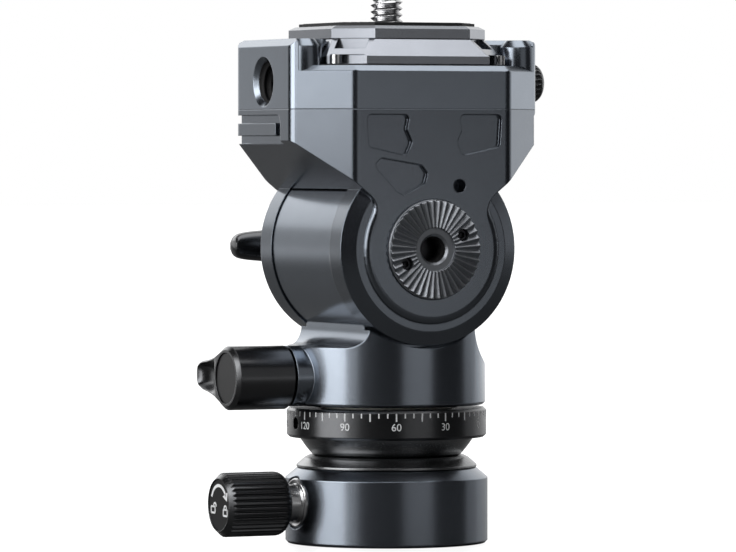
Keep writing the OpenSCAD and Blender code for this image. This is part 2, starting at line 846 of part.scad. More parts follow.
// Cheeks and block in one piece along Y, rounded towards both faces, as a loft of outlines
module fork_blank() {
    steps = 4;
    near = [
        for (i = [0 : steps])
            let (a = 90 * i / steps)
            [face_round_h * (1 - cos(a)) - face_y, face_outline(face_round_w * sin(a))]
    ];
    far = [for (i = [steps : -1 : 0]) [-near[i][0], near[i][1]]];
    rings = concat(near, far);
    last = len(rings) - 1;
    n = len(near[0][1]);
    points = [for (ring = rings) each [for (p = ring[1]) [p.x, ring[0], tilt_z + p.y]]];
    sides = [
        for (k = [0 : last - 1], i = [0 : n - 1])
            [k * n + i, k * n + (i + 1) % n, (k + 1) * n + (i + 1) % n, (k + 1) * n + i]
    ];
    caps = [[for (i = [n - 1 : -1 : 0]) i], [for (i = [0 : n - 1]) last * n + i]];
    polyhedron(points, concat(sides, caps), convexity = 6);
}

// Cheek disc with a sloping rim, drawn along +Z from the middle of the head
module cheek_disc() {
    rotate_extrude() polygon([
        [0, cheek_y], [cheek_r, cheek_y], [cheek_r, rim_y], [cheek_flat_r, rim_y + cheek_rim_h],
        [0, rim_y + cheek_rim_h]
    ]);
}

// Plan of the top block, shared with the clamp
module block_plan() {
    polygon(rounded(chamfered(half_l, face_y, corner_x, corner_y), corner_r));
}

// Pocket round the bar of the accessory rail in the -X face, open at the far side
module rail_grooves() {
    top = block_top - rail_drop;
    low = top - 2 * rail_groove_w - rail_bar_w;
    stop_y = corner_y + rail_stop - face_y;
    bar_gap = 2.2;
    round_r = 1.4;
    translate([-half_l - 1, 0, 0]) rotate([90, 0, 90]) linear_extrude(height = rail_depth + 1) difference() {
        polygon(concat(
            [[stop_y, low]],
            corner_arc([stop_y, low], [stop_y, top], [through, top], round_r),
            [[through, top], [through, low]]
        ));
        translate([stop_y + bar_gap, low + rail_groove_w]) square([2 * through, rail_bar_w]);
    }
}

// Shallow pocket in the front face; the outline is seen from the front, about the tilt axis
module face_pocket(outline, r) {
    translate([0, pocket_depth - face_y, tilt_z]) rotate([90, 0, 0])
        linear_extrude(height = 2) polygon(rounded(outline, r));
}

// Pocket below the block's upper corner, with a waisted inner side
module front_pocket(side) {
    out = half_l - corner_x - (side > 0 ? 1.6 : 2.4);
    inner = out - 9.2;
    top = block_rise - 1;
    face_pocket([
        [side * inner, top], [side * out, top], [side * (out - 0.4), top - 6.3],
        [side * (inner + 0.7), top - 8], [side * (inner - 0.5), top - 5.4], [side * (inner + 0.6), top - 3]
    ], 1);
}

// Slanting pocket below the left one
module low_pocket() {
    face_pocket([
        [-12.6, 16.4], [-11, 17.8], [-2.4, 16.4], [-1.1, 14.8], [-1.6, 12.8], [-6.2, 10.5], [-7.6, 11.2]
    ], 0.9);
}

module tilt_body() {
    color(metal) difference() {
        union() {
            intersection() {
                translate([0, 0, tilt_z - through]) linear_extrude(height = through + block_rise)
                    block_plan();
                fork_blank();
            }
            along_tilt() mirror([0, 0, 1]) cheek_disc();
            along_tilt() cheek_disc();
        }
        along_tilt(-cheek_y) cylinder(r = drum_room_r, h = 2 * cheek_y);
        translate([0, cheek_y, tilt_z]) rotate([90, 0, 0]) linear_extrude(height = 2 * cheek_y)
            polygon([[0, 0], polar(through, under_angle - 1), polar(through, under_angle + web_relief)]);
        along_tilt(-axle_near_y) cylinder(r = axle_r + fit, h = through);
        along_tilt(-rosette_y) cylinder(r = rosette_r + fit, h = rosette_t);
        along_tilt(-face_y) cylinder(d = rosette_bore_d, h = face_y);
        rosette_screw_places() cylinder(r = rosette_screw_d / 2 + fit, h = rosette_t + 3);
        for (x = [-1, 1], y = [-1, 1])
            translate([x * clamp_screw_at.x, y * clamp_screw_at.y, clamp_screw_z - 0.3])
                cylinder(r = clamp_screw_d / 2 + fit, h = through);
        rail_grooves();
        for (side = [-1, 1]) front_pocket(side);
        low_pocket();
        along_tilt(-face_y - 1) translate([pin_hole_at.x, -pin_hole_at.y]) cylinder(r = pin_hole_r, h = 4);
    }
}

module tilt_axle() {
    color(steel) union() {
        along_tilt(-axle_near_y) cylinder(r = axle_r, h = axle_near_y + face_y);
        along_tilt(face_y - eps) cylinder(r = tilt_stud_r, h = tilt_bore_l);
    }
}

// Toothed rosette, let into the near cheek

// Ring of radial V teeth on the plane z = 0, deeper towards the rim
module tooth_ring(inner, outer, teeth, h) {
    n = 2 * teeth;
    root = -0.6;
    points = concat(
        [for (i = [0 : n - 1]) concat(polar(inner, 180 * i / teeth), root)],
        [for (i = [0 : n - 1]) concat(polar(outer, 180 * i / teeth), root)],
        [for (i = [0 : n - 1]) concat(polar(outer, 180 * i / teeth), h * (i % 2))],
        [for (i = [0 : n - 1]) concat(polar(inner, 180 * i / teeth), h * (0.3 + 0.4 * (i % 2)))]
    );
    faces = [
        for (ring = [0 : 3], i = [0 : n - 1])
            let (a = ring * n, b = (ring + 1) % 4 * n, j = (i + 1) % n)
            each [[a + i, b + i, b + j], [a + i, b + j, a + j]]
    ];
    polyhedron(points, faces, convexity = 10);
}

// Places of the two rosette screws, drawn along +Y from the front face
module rosette_screw_places() {
    for (turn = [25, 205])
        along_tilt(-rosette_y)
            translate(polar(rosette_screw_r, -turn)) children();
}

module rosette() {
    color(metal) difference() {
        union() {
            along_tilt(-rosette_y + rosette_floor) cylinder(r = rosette_r, h = rosette_t - rosette_floor);
            along_tilt(-rosette_y) mirror([0, 0, 1])
                tooth_ring(rosette_flat_d / 2, rosette_r - 0.2, rosette_teeth, rosette_tooth_h);
        }
        along_tilt(-through) cylinder(d = rosette_bore_d, h = 2 * through);
        along_tilt(-rosette_y + rosette_floor - eps) cylinder(
            r1 = rosette_bore_d / 2 + hole_chamfer, r2 = rosette_bore_d / 2, h = hole_chamfer
        );
        rosette_screw_places() translate([0, 0, -5]) cylinder(d = rosette_screw_d + 2 * fit, h = 10);
    }
}

module rosette_screws() {
    sink = 0.6;
    grip = 2.6;
    color(steel) rosette_screw_places() translate([0, 0, sink])
        cylinder(d = rosette_screw_d, h = rosette_t + grip - sink);
}

// Clamp

// Places and foot of the four screws that hold the clamp
clamp_screw_at = [10, 9];
clamp_screw_z = tilt_z + drum_room_r + 2;
screw_head_t = 2.4;

// Cross-section of the plate channel, wider by gap than the plate
module channel_section(gap) {
    mouth = plate_top_r + gap;
    foot = plate_r + gap;
    polygon([
        [-foot, floor_z], [foot, floor_z], [foot, foot_top + 0.1], [mouth, clamp_top],
        [mouth, clamp_top + 5], [-mouth, clamp_top + 5], [-mouth, clamp_top], [-foot, foot_top + 0.1]
    ]);
}

// Middle of the scoop at each end of the jaws
scoop_at = [plate_top_r - 0.2, face_y - 1.3];

// Bevel along the open edges of the channel floor, as far as the jaws
module floor_bevel() {
    side = floor_edge * sqrt(2);
    slant = atan2(corner_y, corner_x);
    intersection() {
        for (y = [-1, 1]) {
            translate([0, y * face_y, floor_z]) rotate([45, 0, 0]) cube([body_l, side, side], center = true);
            for (x = [-1, 1])
                translate([x * (half_l - corner_x / 2), y * (face_y - corner_y / 2), floor_z])
                    rotate([0, 0, -x * y * slant]) rotate([45, 0, 0])
                        cube([2 * corner_x, side, side], center = true);
        }
        union() {
            cube([2 * scoop_at.x, 2 * through, 2 * clamp_top], center = true);
            for (x = [-1, 1], y = [-1, 1])
                translate([x * scoop_at.x, y * scoop_at.y, 0]) cylinder(r = scoop_r, h = 2 * clamp_top);
        }
    }
}

module clamp_base() {
    scoop_edge = 0.9;
    color(metal) difference() {
        translate([0, 0, block_top]) linear_extrude(height = clamp_h) block_plan();
        translate([0, through, 0]) rotate([90, 0, 0])
            linear_extrude(height = 2 * through) channel_section(jaw_gap);
        for (x = [-1, 1], y = [-1, 1]) {
            translate([x * scoop_at.x, y * scoop_at.y, floor_z]) cylinder(r = scoop_r, h = through);
            translate([x * scoop_at.x, y * scoop_at.y, clamp_top - scoop_edge])
                cylinder(r1 = scoop_r, r2 = scoop_r + 2 * scoop_edge, h = 2 * scoop_edge);
            translate([x * clamp_screw_at.x, y * clamp_screw_at.y, block_top - 1])
                cylinder(r = clamp_screw_d / 2 + 2 * fit, h = through);
            translate([x * clamp_screw_at.x, y * clamp_screw_at.y, floor_z - screw_head_t - 0.4])
                cylinder(r = clamp_screw_d + fit, h = through);
        }
        for (side = [-1, 1])
            translate([side * half_l, 0, clamp_top]) rotate([0, 45, 0])
                cube([jaw_bevel * sqrt(2), through, jaw_bevel * sqrt(2)], center = true);
        floor_bevel();
        along_minus_x(half_l - side_hole_depth, 0, side_z) cylinder(d = side_hole_d, h = through);
        along_minus_x(half_l - side_chamfer, 0, side_z) cylinder(
            r1 = side_hole_d / 2, r2 = side_hole_d / 2 + 2 * side_chamfer, h = 2 * side_chamfer
        );
        along_minus_x(-spring_end_x, 0, side_z)
            cylinder(r = spring_room_r, h = spring_end_x + half_l - side_hole_depth + eps);
        along_minus_x(-half_l - 1, 0, side_z) cylinder(r = plunger_r + fit, h = half_l);
        translate([latch_x - 0.2, -latch_y - run_gap, latch_z - run_gap]) cube([
            latch_l + release_travel + 2 * run_gap, 2 * (latch_y + run_gap), latch_top - latch_z + 2 * run_gap
        ]);
    }
}

module clamp_screws() {
    color(steel) for (x = [-1, 1], y = [-1, 1])
        translate([x * clamp_screw_at.x, y * clamp_screw_at.y, 0]) {
            translate([0, 0, clamp_screw_z])
                cylinder(d = clamp_screw_d, h = floor_z - screw_head_t - 0.4 - clamp_screw_z + eps);
            translate([0, 0, floor_z - screw_head_t - 0.4]) cylinder(r = clamp_screw_d, h = screw_head_t);
        }
}

// Release: pull knob, rod, spring and the sprung part of the +X jaw

latch_x = plate_top_r + jaw_gap;
spring_end_x = 12;
spring_room_r = plunger_r + 1;
collar_t = 2;
spring_l = 8;

module release_knob() {
    dome = 2.2;
    start = half_l + run_gap;
    color(black) along_minus_x(-start, 0, side_z) mirror([0, 0, 1]) intersection() {
        linear_extrude(height = release_l) fluted(release_d / 2, 24, 0.3);
        rotate_extrude() polygon(concat(
            [[0, 0], [release_d / 2, 0]],
            arc([release_d / 2 - dome, release_l - dome], dome, 0, 90, corner_steps),
            [[0, release_l]]
        ));
        difference() {
            cylinder(r = release_d, h = release_l);
            translate([0, 0, -1]) cylinder(r = plunger_r + fit, h = release_l - 1);
        }
    }
}

module plunger_rod() {
    collar_x = spring_end_x - spring_l - collar_t;
    color(steel) union() {
        translate([collar_x, 0, side_z]) rotate([0, 90, 0])
            cylinder(r = plunger_r, h = half_l + run_gap + release_l - 2 - collar_x);
        translate([collar_x, 0, side_z]) rotate([0, 90, 0])
            cylinder(r = spring_room_r - fit, h = collar_t);
    }
}

// Jaw piece that grips the dovetail, on a tongue round the rod
module latch_jaw() {
    color(steel) difference() {
        intersection() {
            translate([latch_x, -latch_y, latch_z]) cube([latch_l, 2 * latch_y, latch_top - latch_z]);
            difference() {
                translate([-through, -through, 0]) cube(2 * through);
                translate([0, through, 0]) rotate([90, 0, 0])
                    linear_extrude(height = 2 * through) channel_section(jaw_gap - 0.1);
            }
        }
        translate([-through, 0, side_z]) rotate([0, 90, 0]) cylinder(r = plunger_r + fit, h = 2 * through);
    }
}

// Coil spring round the rod, drawn as the sleeve that it fills
module release_spring() {
    color(steel) translate([spring_end_x - spring_l, 0, side_z]) rotate([0, 90, 0])
        tube(spring_room_r - 0.3, plunger_r + 0.3, spring_l);
}

// Camera plate

// Bar along Y with a foot, a dovetail slope and a slab of the given half widths
module dovetail_bar(foot, top) {
    under = top - 0.2;
    crown = top - slab_edge_w;
    rise = slab_top - slab_edge_h;
    translate([0, through, 0]) rotate([90, 0, 0]) linear_extrude(height = 2 * through) polygon([
        [-foot, plate_z], [foot, plate_z], [foot, foot_top], [under, slab_z], [top, slab_z], [top, rise],
        [crown, slab_top], [-crown, slab_top], [-top, rise], [-top, slab_z], [-under, slab_z],
        [-foot, foot_top]
    ]);
}

module qr_plate() {
    notch_l = 6.4;
    notch_h = 2;
    color(metal) difference() {
        intersection() {
            intersection_for(turn = [0, 90]) rotate([0, 0, turn]) dovetail_bar(plate_r, plate_top_r);
            intersection_for(turn = [45, 135])
                rotate([0, 0, turn]) dovetail_bar(foot_corner_r, slab_corner_r);
        }
        for (turn = [45 : 90 : 315])
            rotate([0, 0, turn]) translate([slab_corner_r - 0.8, -notch_l / 2, slab_z - notch_h])
                cube([plate_corner, notch_l, notch_h]);
        for (turn = [45 : 90 : 315])
            rotate([0, 0, turn]) translate([foot_corner_r - stop_room, -stop_room_w / 2, plate_z - 1])
                cube([plate_corner, stop_room_w, stop_top + 1 - plate_z]);
        translate([0, 0, plate_z - 1]) cylinder(
            r = camera_head_r + face_gap, h = camera_head_z + camera_head_t + face_gap + 1 - plate_z
        );
        translate([0, 0, plate_z]) cylinder(r = camera_screw_r + 2 * fit, h = through);
    }
}

module plate_pad() {
    edge = slab_edge_w + 0.7;
    color(black) translate([0, 0, slab_top]) difference() {
        intersection() {
            translate([0, 0, pad_t / 2])
                cube([2 * (plate_top_r - edge), 2 * (plate_top_r - edge), pad_t], center = true);
            rotate([0, 0, 45]) translate([0, 0, pad_t / 2])
                cube([2 * (slab_corner_r - edge), 2 * (slab_corner_r - edge), pad_t], center = true);
        }
        translate([0, 0, -1]) cylinder(r = camera_screw_r + 0.6, h = pad_t + 2);
    }
}

// Steel stops that hang in the cut corners of the plate's foot, beside the jaws
module plate_stops() {
    stop_r = 1.2;
    stop_at = [plate_r - stop_r - 0.2, foot_corner_r * sqrt(2) - plate_r + stop_r + 0.2];
    color(steel) for (x = [-1, 1], y = [-1, 1])
        translate([x * stop_at.x, y * stop_at.y, plate_z]) cylinder(r = stop_r, h = stop_top - plate_z);
}

module camera_screw() {
    tip = 0.6;
    color(steel) union() {
        translate([0, 0, camera_head_z]) cylinder(r = camera_head_r, h = camera_head_t);
        translate([0, 0, camera_head_z]) cylinder(r = camera_screw_r - 0.5, h = pad_top - camera_head_z);
        translate([0, 0, slab_top]) cylinder(r = camera_screw_r, h = pad_t + camera_screw_l - tip);
        translate([0, 0, pad_top + camera_screw_l - tip])
            cylinder(r1 = camera_screw_r, r2 = camera_screw_r - tip, h = tip);
    }
}

base_housing();
base_plate();
level_bush();
level_shoe();
level_knob();
level_knob_cap();
level_screw();
seat_ring();
half_ball();
draw_bolt();
spherical_washer();
scale_ring();
scale_ring_screw();
pan_spindle();
thrust_washer();
pan_damper_disc();
spindle_nut();
column();
pan_bearing();
tilt_bearing_near();
tilt_bearing_far();
damper_stator();
pan_brake_pad();
pan_lever();
pan_lever_cap();
pan_screw();
tilt_body();
tilt_axle();
damper_rotor();
rosette();
rosette_screws();
clamp_base();
clamp_screws();
tilt_washer();
tilt_lever();
tilt_lever_cap();
tilt_lever_nut();
release_knob();
plunger_rod();
latch_jaw();
release_spring();
qr_plate();
plate_pad();
plate_stops();
camera_screw();
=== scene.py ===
"""Fluid video head: finishes, fine detail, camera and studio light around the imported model.

Shapes are built in millimetres in the part's own frame: Z up along the pan axis, the photo's side towards -Y.
"""
import json
import math

import bmesh
import bpy
from mathutils import Matrix, Vector
from mathutils.bvhtree import BVHTree

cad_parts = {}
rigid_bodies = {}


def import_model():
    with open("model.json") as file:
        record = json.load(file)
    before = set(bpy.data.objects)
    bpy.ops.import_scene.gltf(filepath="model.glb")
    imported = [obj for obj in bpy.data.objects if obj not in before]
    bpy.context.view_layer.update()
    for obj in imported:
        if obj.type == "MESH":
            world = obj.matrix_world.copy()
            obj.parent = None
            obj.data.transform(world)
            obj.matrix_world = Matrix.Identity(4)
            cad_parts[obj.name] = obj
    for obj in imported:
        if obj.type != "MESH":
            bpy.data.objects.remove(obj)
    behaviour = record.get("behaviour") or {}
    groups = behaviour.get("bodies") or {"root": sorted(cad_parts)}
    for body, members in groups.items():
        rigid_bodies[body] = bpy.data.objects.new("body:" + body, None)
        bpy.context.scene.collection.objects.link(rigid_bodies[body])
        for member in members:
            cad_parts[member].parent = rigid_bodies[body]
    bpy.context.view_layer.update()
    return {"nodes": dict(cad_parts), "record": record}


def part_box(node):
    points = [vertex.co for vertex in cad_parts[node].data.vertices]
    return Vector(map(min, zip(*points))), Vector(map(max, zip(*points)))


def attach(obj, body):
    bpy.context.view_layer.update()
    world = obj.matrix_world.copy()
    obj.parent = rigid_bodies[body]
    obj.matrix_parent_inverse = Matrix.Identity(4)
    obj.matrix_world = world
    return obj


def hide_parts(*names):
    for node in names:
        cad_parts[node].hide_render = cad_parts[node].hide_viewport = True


for stray in list(bpy.data.objects):
    bpy.data.objects.remove(stray)

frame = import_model()
nodes = frame["nodes"]
record = frame["record"]
body_of_node = {
    node: body for body, names in record["behaviour"]["bodies"].items() for node in names
}
slot_of_node = {part["node"]: part["material_slot"] for part in record["subparts"]}
MM = 0.001
TILT_Z = 58.1  # height of the tilt axis


# Camera: a long lens, almost level, seen from the front and a little from the left

PHOTO_W, PHOTO_H = 736, 552
SENSOR_W = 36.0
FOCAL_PX = 5500.0
VIEW_TURN = math.radians(25.2)
VIEW_DISTANCE = 1086 * MM
EYE_HEIGHT = 77.4 * MM
HORIZON_PX = 150.0
PAN_AXIS_PX = 386.5


def make_camera():
    """Camera at the photo's viewing angle; the horizon and the pan axis fall on their pixels."""
    data = bpy.data.cameras.new("photo_camera")
    data.sensor_width = SENSOR_W
    data.lens = FOCAL_PX / PHOTO_W * SENSOR_W
    data.clip_start = 0.01
    data.clip_end = 20.0
    camera = bpy.data.objects.new("photo_camera", data)
    bpy.context.scene.collection.objects.link(camera)
    camera.location = (
        -math.sin(VIEW_TURN) * VIEW_DISTANCE, -math.cos(VIEW_TURN) * VIEW_DISTANCE, EYE_HEIGHT
    )
    pitch = math.atan((PHOTO_H / 2 - HORIZON_PX) / FOCAL_PX)
    yaw = math.atan((PAN_AXIS_PX - PHOTO_W / 2) / FOCAL_PX)
    camera.rotation_euler = (math.pi / 2 - pitch, 0.0, yaw - VIEW_TURN)
    bpy.context.scene.camera = camera


make_camera()


# Materials

CLOUD_SCALE, CLOUD_DETAIL = 220.0, 3.0  # mottling, in features per metre
GRAIN_DETAIL, GRAIN_STRENGTH = 4.0, 0.25
EDGE_SAMPLES = 6

# Colour, spread of the colour, metallic, roughness range, grain in features per metre, depth of the
# grain in metres, radius of the softened edges in millimetres
FINISH_VALUES = {
    "body_metal": ((0.228, 0.255, 0.293), 0.05, 1.0, (0.18, 0.26), 9000.0, 8e-6, 0.3),
    "block_metal": ((0.172, 0.191, 0.218), 0.05, 1.0, (0.18, 0.26), 9000.0, 8e-6, 0.3),
    "rosette_metal": ((0.31, 0.325, 0.35), 0.05, 1.0, (0.36, 0.46), 9000.0, 8e-6, 0.3),
    "plate_metal": ((0.29, 0.305, 0.335), 0.05, 1.0, (0.16, 0.24), 9000.0, 8e-6, 0.12),
    "ball_metal": ((0.25, 0.255, 0.262), 0.06, 1.0, (0.22, 0.30), 7000.0, 8e-6, 0.2),
    "black_metal": ((0.10, 0.102, 0.106), 0.08, 1.0, (0.20, 0.28), 7000.0, 8e-6, 0.18),
    "cap_metal": ((0.05, 0.051, 0.053), 0.08, 1.0, (0.26, 0.36), 7000.0, 8e-6, 0.12),
    "steel": ((0.60, 0.60, 0.61), 0.04, 1.0, (0.20, 0.30), 9000.0, 6e-6, 0.1),
    "dark_steel": ((0.05, 0.05, 0.055), 0.1, 1.0, (0.25, 0.4), 5000.0, 1e-5, 0.06),
    "bronze": ((0.60, 0.42, 0.20), 0.08, 1.0, (0.22, 0.36), 5000.0, 1e-5, 0.1),
    "polymer": ((0.78, 0.77, 0.72), 0.04, 0.0, (0.45, 0.6), 4000.0, 1e-5, 0.1),
    "pad_rubber": ((0.014, 0.014, 0.015), 0.2, 0.0, (0.6, 0.8), 3500.0, 4e-5, 0.1),
    # Near-black matte: the knob disc's own black, and painted shade on the threads inside the side hole and
    # the rosette hole
    "end_black_and_hole_shade": ((0.006, 0.006, 0.0065), 0.15, 0.0, (0.7, 0.85), 6000.0, 1e-5, 0.1),
    "white_print": ((0.84, 0.85, 0.86), 0.05, 0.0, (0.45, 0.6), 6000.0, 4e-6, 0.0),
}

# Nodes whose finish isn't the one of their slot
OWN_FINISH = {
    "tilt_body": "block_metal",
    "rosette": "rosette_metal",
    "tilt_axle": "dark_steel",
    "half_ball": "ball_metal",
    "seat_ring": "ball_metal",
    "pan_lever_cap": "cap_metal",
    "tilt_lever_cap": "cap_metal",
}


def new_material(name):
    """Material with its node tree and its shader."""
    material = bpy.data.materials.new(name)
    material.use_nodes = True
    tree = material.node_tree
    return material, tree, tree.nodes["Principled BSDF"]


def object_noise(tree, scale, detail=2.0):
    """Noise in the part's own frame; scale is in features per metre."""
    place = tree.nodes.new("ShaderNodeTexCoord")
    noise = tree.nodes.new("ShaderNodeTexNoise")
    noise.inputs["Scale"].default_value = scale
    noise.inputs["Detail"].default_value = detail
    tree.links.new(place.outputs["Object"], noise.inputs["Vector"])
    return noise.outputs["Fac"]


def ramp(tree, value, low, high):
    """Maps a 0 to 1 value between two numbers."""
    node = tree.nodes.new("ShaderNodeMapRange")
    node.inputs["To Min"].default_value = low
    node.inputs["To Max"].default_value = high
    tree.links.new(value, node.inputs["Value"])
    return node.outputs["Result"]


def blend_colours(tree, value, first, second):
    """Maps a 0 to 1 value between two colours."""
    node = tree.nodes.new("ShaderNodeMix")
    node.data_type = "RGBA"
    node.inputs["A"].default_value = (*first, 1.0)
    node.inputs["B"].default_value = (*second, 1.0)
    tree.links.new(value, node.inputs["Factor"])
    return node.outputs["Result"]


def soft_grain(tree, shader, height, depth, edge):
    """A fine grain, on edges that are rounded by a small radius."""
    grain = tree.nodes.new("ShaderNodeBump")
    grain.inputs["Strength"].default_value = GRAIN_STRENGTH
    grain.inputs["Distance"].default_value = depth
    tree.links.new(height, grain.inputs["Height"])
    if edge:
        rounding = tree.nodes.new("ShaderNodeBevel")
        rounding.samples = EDGE_SAMPLES
        rounding.inputs["Radius"].default_value = edge * MM
        tree.links.new(rounding.outputs["Normal"], grain.inputs["Normal"])
    tree.links.new(grain.outputs["Normal"], shader.inputs["Normal"])


def finish(name, colour, spread, metallic, rough, grain, depth, edge):
    """A finish with mottled colour, uneven roughness, a fine grain and softened edges."""
    material, tree, shader = new_material(name)
    shader.inputs["Metallic"].default_value = metallic
    cloud = object_noise(tree, CLOUD_SCALE, CLOUD_DETAIL)
    darker = [c * (1 - spread) for c in colour]
    lighter = [c * (1 + spread) for c in colour]
    tree.links.new(blend_colours(tree, cloud, darker, lighter), shader.inputs["Base Color"])
    fine = object_noise(tree, grain, GRAIN_DETAIL)
    tree.links.new(ramp(tree, fine, rough[0], rough[1]), shader.inputs["Roughness"])
    soft_grain(tree, shader, fine, depth, edge)
    return material


FINISHES = {name: finish(name, *values) for name, values in FINISH_VALUES.items()}

for name, obj in nodes.items():
    obj.data.materials.clear()
    obj.data.materials.append(FINISHES[OWN_FINISH.get(name, slot_of_node[name])])


# Shapes: lists of points and faces, in millimetres

MERGE = 0.00005  # points closer than this are one point


def moved(shape, matrix):
    """Shape put in another place."""
    points, faces = shape
    return [matrix @ Vector(p) for p in points], faces


def joined(shapes):
    """Several shapes as one."""
    points, faces = [], []
    for more_points, more_faces in shapes:
        start = len(points)
        points += more_points
        faces += [[start + i for i in face] for face in more_faces]
    return points, faces


def ring_points(rings, steps):
    """Points of rings about Z. A ring is (radius, height); the radius may depend on the angle."""
    points = []
    for radius, height in rings:
        for i in range(steps):
            angle = 2 * math.pi * i / steps
            r = radius(angle) if callable(radius) else radius
            points.append((r * math.cos(angle), r * math.sin(angle), height))
    return points


def skin(rows, count, closed=False):
    """Faces between rows of points that are loops; closed joins the last row to the first."""
    faces = []
    for k in range(rows if closed else rows - 1):
        n = (k + 1) % rows
        for i in range(count):
            j = (i + 1) % count
            faces.append([k * count + i, k * count + j, n * count + j, n * count + i])
    return faces


def end_faces(rows, count):
    """Faces that close the first and the last row of points."""
    return [list(range(count))[::-1], list(range((rows - 1) * count, rows * count))]


def turned(rings, steps):
    """Turned solid about Z: a skin over its rings, closed at both ends."""
    rows = len(rings)
    return ring_points(rings, steps), skin(rows, steps) + end_faces(rows, steps)


def collar(rings, steps):
    """Closed ring about Z: its section is the loop of (radius, height) points."""
    return ring_points(rings, steps), skin(len(rings), steps, closed=True)


def slab(outline, thickness):
    """Flat outline of (x, y) points, raised from height 0."""
    points = [(x, y, height) for height in (0.0, thickness) for x, y in outline]
    return points, end_faces(2, len(outline)) + skin(2, len(outline))


def ribbon(path, width):
    """Outline of a line of the given width along a path."""
    left, right = [], []
    for i, (x, y) in enumerate(path):
        before = path[max(i - 1, 0)]
        after = path[min(i + 1, len(path) - 1)]
        along = Vector((after[0] - before[0], after[1] - before[1])).normalized()
        left.append((x - along.y * width / 2, y + along.x * width / 2))
        right.append((x + along.y * width / 2, y - along.x * width / 2))
    return right + left[::-1]


def arc(radius, start, end, steps, centre):
    """Points along an arc, between two angles in degrees."""
    angles = [math.radians(start + (end - start) * i / steps) for i in range(steps + 1)]
    return [(centre[0] + radius * math.cos(a), centre[1] + radius * math.sin(a)) for a in angles]


def lettering(text, size, thickness):
    """Raised digits, centred, in the XY plane."""
    curve = bpy.data.curves.new("digits", "FONT")
    curve.body = text
    curve.size = size
    curve.align_x = "CENTER"
    curve.align_y = "CENTER"
    curve.extrude = thickness / 2
    curve.resolution_u = 5
    holder = bpy.data.objects.new("digits", curve)
    mesh = bpy.data.meshes.new_from_object(holder)
    shape = ([tuple(v.co) for v in mesh.vertices], [list(p.vertices) for p in mesh.polygons])
    bpy.data.objects.remove(holder)
    bpy.data.meshes.remove(mesh)
    bpy.data.curves.remove(curve)
    return shape


def facing(place, direction, up=(0.0, 0.0, 1.0)):
    """Frame whose Z points in a direction and whose Y points up, at a place."""
    z = Vector(direction).normalized()
    x = Vector(up).cross(z).normalized()
    y = z.cross(x)
    turn = Matrix((x, y, z)).transposed().to_4x4()
    return Matrix.Translation(Vector(place)) @ turn


def piece(name, shape, body, slot, stands_for=(), sharp=32, look=None):
    """Mesh object that rides on a body. Edges over the sharp angle stay hard; look is a finish of its own."""
    points, faces = shape
    mesh = bpy.data.meshes.new(name)
    mesh.from_pydata([tuple(c * MM for c in p) for p in points], [], faces)
    work = bmesh.new()
    work.from_mesh(mesh)
    bmesh.ops.remove_doubles(work, verts=work.verts, dist=MERGE * MM)
    bmesh.ops.recalc_face_normals(work, faces=work.faces)
    work.to_mesh(mesh)
    work.free()
    mesh.materials.append(FINISHES[look or slot])
    mesh.shade_smooth()
    mesh.set_sharp_from_angle(angle=math.radians(sharp))
    obj = bpy.data.objects.new(name, mesh)
    bpy.context.scene.collection.objects.link(obj)
    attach(obj, body)
    if stands_for:
        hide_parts(*stands_for)


# Threads: right-hand V threads with small flats, about Z

FLANK_STRETCH, FLANK_SHIFT = 1.25, 0.125  # the flanks overshoot crest and root, which leaves flats
THREAD_STEP = 0.06  # height from ring to ring
RUN_OUT, RUN_OUT_LEAST = 0.6, 0.15  # of the pitch, of the depth


def thread_wave(pitch, angle, height):
    """1 at the crest of the thread and 0 at its root."""
    phase = (height / pitch - angle / (2 * math.pi)) % 1.0
    return min(1.0, max(0.0, abs(2 * phase - 1) * FLANK_STRETCH - FLANK_SHIFT))


def thread_rings(pitch, crest, root, low, high):
    """Rings of a threaded surface from low to high; the thread runs out at both ends."""
    count = int((high - low) / THREAD_STEP)
    rings = []
    for k in range(count + 1):
        height = low + (high - low) * k / count
        near_end = min(1.0, RUN_OUT_LEAST + min(height - low, high - height) / (RUN_OUT * pitch))

        def radius(angle, height=height, near_end=near_end):
            return root + (crest - root) * near_end * thread_wave(pitch, angle, height)

        rings.append((radius, height))
    return rings


# Camera screw: quarter inch thread with 20 turns per inch, on a plain turned head

SCREW_PITCH, SCREW_CREST, SCREW_ROOT = 1.27, 3.175, 2.5
SCREW_NECK = 100.4  # height at which the thread starts
SCREW_TIP = 0.35  # plain end above the thread
HEAD_R, HEAD_LOW_R, HEAD_TOP_R = 5.77, 5.3, 5.5
HEAD_T, HEAD_LOW_EDGE, HEAD_TOP_EDGE = 2.3, 0.4, 0.3


def camera_screw():
    """Threaded screw in place of the plain one."""
    low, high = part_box("camera_screw")
    bottom, top = low.z / MM, high.z / MM
    rings = [
        (HEAD_LOW_R, bottom), (HEAD_R, bottom + HEAD_LOW_EDGE),
        (HEAD_R, bottom + HEAD_T - HEAD_TOP_EDGE), (HEAD_TOP_R, bottom + HEAD_T),
        (SCREW_ROOT, bottom + HEAD_T), (SCREW_ROOT, SCREW_NECK),
    ]
    rings += thread_rings(SCREW_PITCH, SCREW_CREST, SCREW_ROOT, SCREW_NECK, top - SCREW_TIP)
    rings += [(SCREW_ROOT - 0.1, top - 0.1), (SCREW_ROOT - 0.4, top)]
    piece("camera_thread", turned(rings, 72), "camera_screw", "steel", ["camera_screw"], sharp=40)


camera_screw()


# Scale ring: ticks, longer ones among them, and figures

RING_R, RING_TOP = 19.7, 26.2
ZERO_AT = 40.5  # place of the zero, in degrees from -Y towards +X
TICK_EVERY, LONG_EVERY, FIGURE_EVERY = 5, 15, 30  # degrees
TICK, LONG_TICK = (0.9, 0.12), (1.55, 0.14)  # reach and half width
TICK_RISE = 0.03
FIGURE_SIZE, FIGURE_RISE, FIGURE_Z = 2.05, 0.06, 23.45


